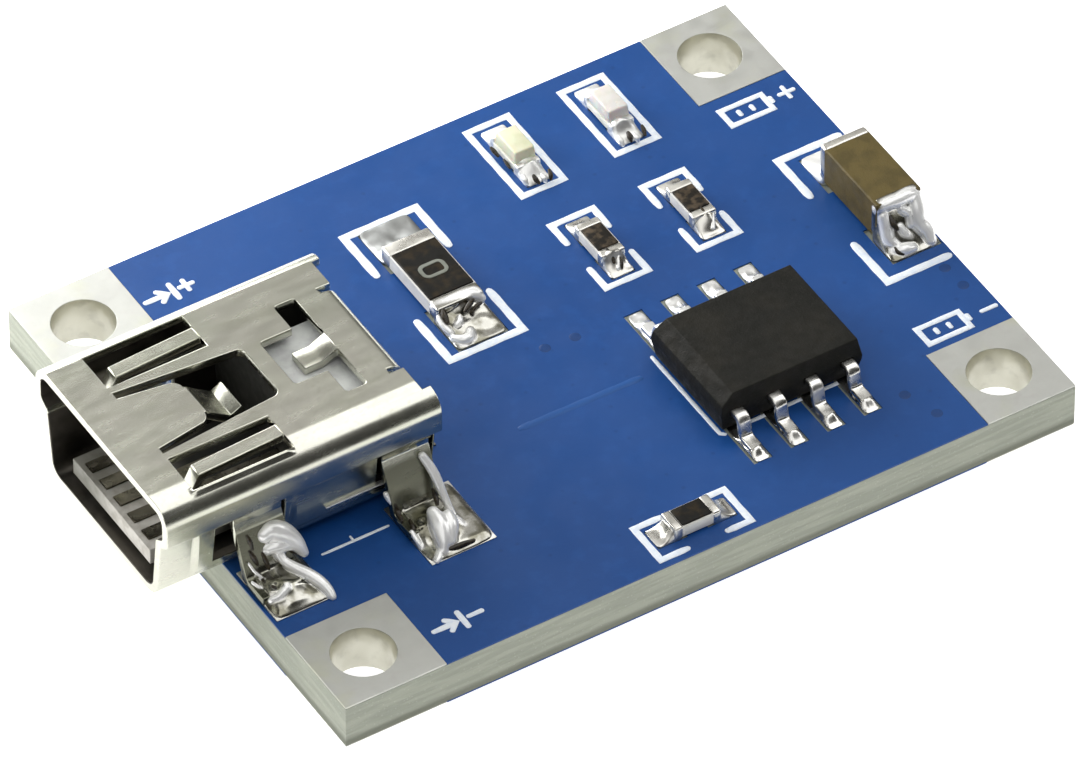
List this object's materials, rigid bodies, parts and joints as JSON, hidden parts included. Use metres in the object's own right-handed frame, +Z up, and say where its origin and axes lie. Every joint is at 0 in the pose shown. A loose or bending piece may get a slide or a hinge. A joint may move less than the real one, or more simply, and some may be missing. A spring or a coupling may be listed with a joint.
{
  "type": "battery charger module",
  "caption": "Blue printed board that charges one lithium cell, with a stamped mini-USB socket at one end and tinned corner lands with wire holes.",
  "frame": {"origin": "centre of the board's underside (its outline without the socket's overhang)", "axes": "+X from the socket end to the battery end, +Y towards the plus side, +Z up through the board"},
  "size_m": [0.0274, 0.0192, 0.0056],
  "materials": {
    "laminate": "glass-epoxy laminate, sawn edges",
    "solder_mask": "blue semi-gloss solder mask",
    "tinned_copper": "hot-tinned copper, satin",
    "shell_steel": "plated sheet steel, satin with bright folds",
    "insulator": "dark moulded resin",
    "contact_metal": "plated copper alloy",
    "solder": "bright solder",
    "chip_moulding": "black mould compound",
    "lead_metal": "tinned, bright",
    "white_ceramic": "white alumina",
    "black_element": "black overglaze",
    "brown_ceramic": "brown sintered ceramic",
    "terminal_tin": "tin plating",
    "lamp_base": "white resin",
    "lamp_lens": "translucent moulded epoxy"
  },
  "bodies": {
    "root": {"battery_minus_land": "tinned_copper", "battery_plus_land": "tinned_copper", "board_laminate": "laminate", "capacitor_ceramic": "brown_ceramic", "capacitor_solder_a": "solder", "capacitor_solder_b": "solder", "capacitor_terminal_a": "terminal_tin", "capacitor_terminal_b": "terminal_tin", "chip_body": "chip_moulding", "chip_heat_pad": "solder", "chip_lead_1": "lead_metal", "chip_lead_2": "lead_metal", "chip_lead_3": "lead_metal", "chip_lead_4": "lead_metal", "chip_lead_5": "lead_metal", "chip_lead_6": "lead_metal", "chip_lead_7": "lead_metal", "chip_lead_8": "lead_metal", "in_minus_land": "tinned_copper", "in_plus_land": "tinned_copper", "lamp_1_base": "lamp_base", "lamp_1_lens": "lamp_lens", "lamp_1_terminal_a": "terminal_tin", "lamp_1_terminal_b": "terminal_tin", "lamp_2_base": "lamp_base", "lamp_2_lens": "lamp_lens", "lamp_2_terminal_a": "terminal_tin", "lamp_2_terminal_b": "terminal_tin", "leg_solder_front_minus": "solder", "leg_solder_front_plus": "solder", "leg_solder_rear_minus": "solder", "leg_solder_rear_plus": "solder", "resistor_1_ceramic": "white_ceramic", "resistor_1_element": "black_element", "resistor_1_solder_a": "solder", "resistor_1_solder_b": "solder", "resistor_1_terminal_a": "terminal_tin", "resistor_1_terminal_b": "terminal_tin", "resistor_2_ceramic": "white_ceramic", "resistor_2_element": "black_element", "resistor_2_terminal_a": "terminal_tin", "resistor_2_terminal_b": "terminal_tin", "resistor_3_ceramic": "white_ceramic", "resistor_3_element": "black_element", "resistor_3_terminal_a": "terminal_tin", "resistor_3_terminal_b": "terminal_tin", "resistor_4_ceramic": "white_ceramic", "resistor_4_element": "black_element", "resistor_4_terminal_a": "terminal_tin", "resistor_4_terminal_b": "terminal_tin", "socket_contact_1": "contact_metal", "socket_contact_2": "contact_metal", "socket_contact_3": "contact_metal", "socket_contact_4": "contact_metal", "socket_contact_5": "contact_metal", "socket_insulator": "insulator", "socket_shell": "shell_steel", "solder_mask_bottom": "solder_mask", "solder_mask_top": "solder_mask"}
  },
  "joints": []
}
